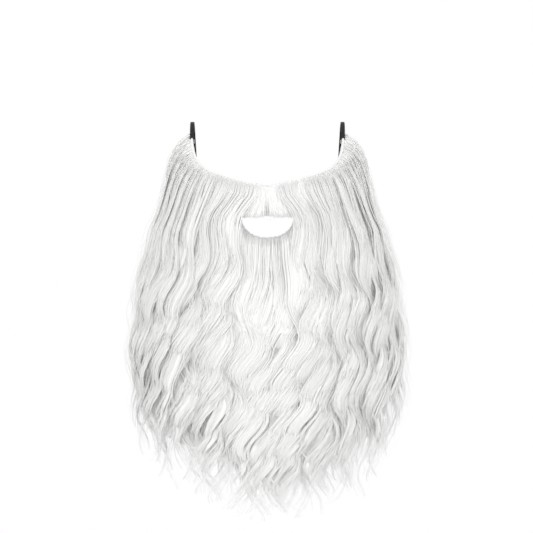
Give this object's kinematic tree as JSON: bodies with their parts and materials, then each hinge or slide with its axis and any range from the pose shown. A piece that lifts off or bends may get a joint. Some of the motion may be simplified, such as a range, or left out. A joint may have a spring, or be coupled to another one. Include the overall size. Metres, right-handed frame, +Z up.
{
  "type": "fake beard",
  "caption": "Long wavy white costume beard with attached moustache, cut-out mouth, fabric backing and black elastic ear loops, shaped as worn.",
  "frame": {"origin": "between the wearer's lips: the centre of the mouth opening, on the inner face of the backing", "axes": "+Z up, the beard's front faces -Y, +X is the wearer's left"},
  "size_m": [0.2887, 0.1618, 0.3972],
  "materials": {
    "white_hair": "wavy synthetic hair, soft sheen",
    "backing_fabric": "matt knitted backing",
    "black_elastic": "matt braided elastic"
  },
  "bodies": {
    "root": {"backing": "backing_fabric", "moustache_left": "white_hair", "moustache_right": "white_hair", "cheek_hair_left": "white_hair", "cheek_hair_right": "white_hair", "sideburn_hair_left": "white_hair", "sideburn_hair_right": "white_hair", "chin_hair": "white_hair", "under_hair_left": "white_hair", "under_hair_right": "white_hair", "ear_loop_left": "black_elastic", "ear_loop_right": "black_elastic"}
  },
  "joints": []
}
